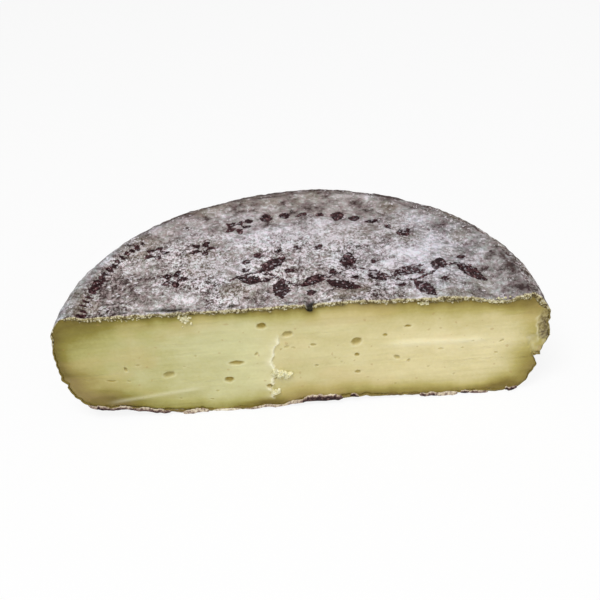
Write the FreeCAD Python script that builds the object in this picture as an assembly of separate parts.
"""Half of a pressed mountain cheese wheel, lying on its foot with the cut face to the front.

Millimetres, +Z up. While it is built, the wheel's axis is the Z axis, the knife's cut is the
plane y = 0 and the body lies behind it, towards +Y. At the end the solid moves so that the
origin is the bottom centre of its box. The rind and the paste are one piece: one solid.
"""
import FreeCAD, Part
import bisect
import math
import os
from FreeCAD import Matrix, Vector

# ---- The wheel ------------------------------------------------------------------------------
wheel_radius = 105.0      # axis to the widest line of the side
wheel_height = 54.3       # foot to crown, at the axis
belly_height = 38.0       # foot to the widest line of the side
side_waves = [            # how far the wheel is from round: depth, count, phase in degrees
    (1.0, 1, -20.0),
    (0.9, 2, -115.0),
    (0.4, 3, -130.0),
    (0.3, 8, 85.0),
]

# ---- The crown: pressed flat, a little hollow, higher at its left end -------------------------
crown_spot = 12.0         # radius of the flat spot at the axis
crown_rise_left = 1.8     # how far the crown climbs from the axis to the left end
crown_fall_right = 3.3    # and how far it drops to the right end
crown_waves = [(0.3, 2, 70.0), (0.25, 5, 10.0)]
lip_width = 11.0          # the ridge that the mould's rim left round the crown
lip_rise = 0.6
sag_depth = 2.8           # where the knife pressed the crown down, beside the right end
sag_inset = 21.0          # widest line of the side to the middle of that sag
sag_width = 9.0
sag_spread = 24.0         # degrees round the wheel over which it fades

# ---- The rim, where the crown turns down ------------------------------------------------------
rim_reach = 9.5           # how far in from the widest line the crown begins
rim_fullness = 1.9        # 2 is an ellipse, and more is squarer

# ---- Under the side: a rounded corner, then a shallow heel down to the foot, by end ------------
corner_reach = {"right": 18.0, "left": 24.0}
corner_fullness = {"right": 1.9, "left": 2.8}
heel_rise = {"right": 0.3, "left": 4.6}       # the heel's height where the corner ends
heel_run = {"right": 4.0, "left": 28.0}       # and how far in it reaches the foot

# ---- The cut: eyes in the paste, the chipped end and the lifted foot --------------------------
eyes = [                  # place as a share of the radius and of the height, width, depth, tilt in degrees
    (-0.78, 0.40, 3.9, 1.2, 0.0),
    (-0.71, 0.50, 1.6, 2.7, 0.0),
    (-0.54, 0.41, 5.1, 2.8, 15.0),
    (-0.30, 0.32, 3.9, 2.8, 0.0),
    (-0.26, 0.49, 6.4, 2.2, 0.0),
    (-0.14, 0.82, 4.1, 3.1, 0.0),
    (-0.14, 0.23, 2.2, 2.8, 0.0),
    (-0.04, 0.73, 4.6, 3.1, 10.0),
    (0.06, 0.61, 2.6, 1.5, 0.0),
    (0.23, 0.61, 4.6, 3.6, 25.0),
    (0.23, 0.30, 2.6, 1.7, 0.0),
    (0.40, 0.42, 3.0, 2.2, -10.0),
    (0.44, 0.73, 2.9, 1.6, 0.0),
    (0.81, 0.52, 2.5, 1.2, 0.0),
]
eye_hollow = 0.55         # how deep an eye goes in, as a share of its mean opening
chip_drop = 9.0           # belly to the middle of the bite broken out of the rind at the right end
chip_tall = 21.0
chip_reach = 7.0          # how far in from the widest line it goes
chip_deep = 2.8           # how far behind the cut it goes
undercut_place = 20.0     # where the foot's edge has lifted along the cut
undercut_long = 66.0
undercut_tall = 1.8
undercut_deep = 18.0

# ---- How finely the skin is described --------------------------------------------------------
columns = 48              # spans round the half turn
rows = 56                 # spans from the crown's flat spot down to the foot
steps = 40                # short straight steps to each stretch of the profile, before it is evened out


def smooth(share):
    """Ease from 0 to 1 as share goes from 0 to 1, level at both ends."""
    share = min(max(share, 0.0), 1.0)
    return share * share * (3.0 - 2.0 * share)


def swell(angle, waves):
    """Sum of the waves at one angle round the wheel."""
    return sum(depth * math.cos(count * angle + math.radians(phase)) for depth, count, phase in waves)


def between(ends, angle):
    """A size that eases from its value at the right end to its value at the left end."""
    return ends["right"] + (ends["left"] - ends["right"]) * smooth(angle / math.pi)


def side_radius(angle):
    """Axis to the widest line of the side."""
    return wheel_radius + swell(angle, side_waves)


def crown_height(radius, angle):
    """Height of the crown. Its flat spot stays level, and everything else fades in from there."""
    outward = (radius - crown_spot) / (wheel_radius - crown_spot)
    along = radius * math.cos(angle) / wheel_radius
    slope = -crown_fall_right * along if along > 0.0 else -crown_rise_left * along
    lip = lip_rise * smooth(1.0 - (side_radius(angle) - rim_reach - radius) / lip_width)
    off_radius = (side_radius(0.0) - sag_inset - radius) / sag_width
    off_angle = math.degrees(angle) / sag_spread
    sag = sag_depth * math.exp(-off_radius ** 2 - off_angle ** 2)
    return wheel_height + smooth(3.0 * outward) * (slope + swell(angle, crown_waves)) + lip - sag


def quarter(share, fullness):
    """A superellipse's quarter: across falls from 1 to 0 as down goes from 0 to 1."""
    turn = share * math.pi / 2.0
    return math.cos(turn) ** (2.0 / fullness), math.sin(turn) ** (2.0 / fullness)


def outline(angle):
    """Radius and height in short steps, from the crown's flat spot over the rim and down to the foot."""
    widest = side_radius(angle)
    shoulder = widest - rim_reach
    shoulder_height = crown_height(shoulder, angle)
    reach, rise, run = (between(ends, angle) for ends in (corner_reach, heel_rise, heel_run))
    fullness = between(corner_fullness, angle)
    shares = [step / steps for step in range(steps)]
    for share in shares:
        radius = crown_spot + (shoulder - crown_spot) * share
        yield radius, crown_height(radius, angle)
    for share in shares:
        up, out = quarter(share, rim_fullness)
        yield shoulder + rim_reach * out, belly_height + (shoulder_height - belly_height) * up
    for share in shares:
        out, down = quarter(share, fullness)
        yield widest - reach * (1.0 - out), belly_height - (belly_height - rise) * down
    for share in shares + [1.0]:
        yield widest - reach - run * share, rise * (1.0 - share)


def profile(angle):
    """The skin at one angle, as points an equal distance apart along its outline."""
    line = list(outline(angle))
    travel = [0.0]
    for before, after in zip(line, line[1:]):
        travel.append(travel[-1] + math.dist(before, after))
    points = []
    for row in range(rows + 1):
        goal = travel[-1] * row / rows
        step = min(max(bisect.bisect_left(travel, goal), 1), len(line) - 1)
        share = (goal - travel[step - 1]) / (travel[step] - travel[step - 1])
        radius, height = (a + (b - a) * share for a, b in zip(line[step - 1], line[step]))
        points.append(Vector(radius * math.cos(angle), radius * math.sin(angle), height))
    return points


def body():
    """The half wheel before anything is taken out of it: skin, foot, crown spot and cut."""
    surface = Part.BSplineSurface()
    surface.interpolate([profile(math.pi * column / columns) for column in range(columns + 1)])
    skin = surface.toShape()
    right_end = surface.uIso(0.0).toShape()
    left_end = surface.uIso(1.0).toShape()
    crown_edge = surface.vIso(0.0).toShape()
    foot_edge = surface.vIso(1.0).toShape()

    def chord(edge):
        return Part.makeLine(edge.valueAt(edge.FirstParameter), edge.valueAt(edge.LastParameter))

    crown = Part.Face(Part.Wire([crown_edge, chord(crown_edge)]))
    foot = Part.Face(Part.Wire([foot_edge, chord(foot_edge)]))
    cut = Part.Face(Part.Wire(Part.__sortEdges__([right_end, chord(crown_edge), left_end, chord(foot_edge)])))
    shell = Part.makeShell([skin, crown, foot, cut])
    shell.sewShape()
    return Part.makeSolid(shell)


def ellipsoid(middle, wide, deep, tall, tilt=0.0):
    """An egg-shaped tool of these full sizes, tilted about the Y axis."""
    stretch = Matrix()
    stretch.scale(wide / 2.0, deep / 2.0, tall / 2.0)
    egg = Part.makeSphere(1.0).transformGeometry(stretch)
    egg.rotate(Vector(), Vector(0, 1, 0), -tilt)
    egg.translate(middle)
    return egg


def eye_tools():
    """One tool for each eye that the knife opened."""
    for along, height, wide, tall, tilt in eyes:
        deep = eye_hollow * (wide + tall)
        middle = Vector(along * wheel_radius, 0.0, height * wheel_height)
        yield ellipsoid(middle, wide, deep, tall, tilt)


def chip_tool():
    """The bite out of the rind at the right end of the cut."""
    middle = Vector(side_radius(0.0), 0.0, belly_height - chip_drop)
    return ellipsoid(middle, 2.0 * chip_reach, 2.0 * chip_deep, chip_tall)


def undercut_tool():
    """The shallow hollow under the foot's edge, where the rind has lifted off the board."""
    middle = Vector(undercut_place, 0.0, 0.0)
    return ellipsoid(middle, undercut_long, 2.0 * undercut_deep, 2.0 * undercut_tall)


def half_wheel():
    """The finished solid, with its origin at the bottom centre of its box."""
    cheese = body().cut([*eye_tools(), chip_tool(), undercut_tool()])
    box = cheese.optimalBoundingBox(False, False)
    cheese.translate(Vector(-box.Center.x, -box.Center.y, -box.ZMin))
    return cheese.Solids[0]


os.makedirs("parts", exist_ok=True)
cheese = half_wheel()
cheese.exportStep("parts/half_wheel.step")
box = cheese.optimalBoundingBox(False, False)
print("half_wheel: valid", cheese.isValid(), "solids", len(cheese.Solids), "faces", len(cheese.Faces))
print("box", [round(v, 3) for v in (box.XMin, box.XMax, box.YMin, box.YMax, box.ZMin, box.ZMax)])
print("volume, cubic centimetres", round(cheese.Volume / 1000.0, 1))
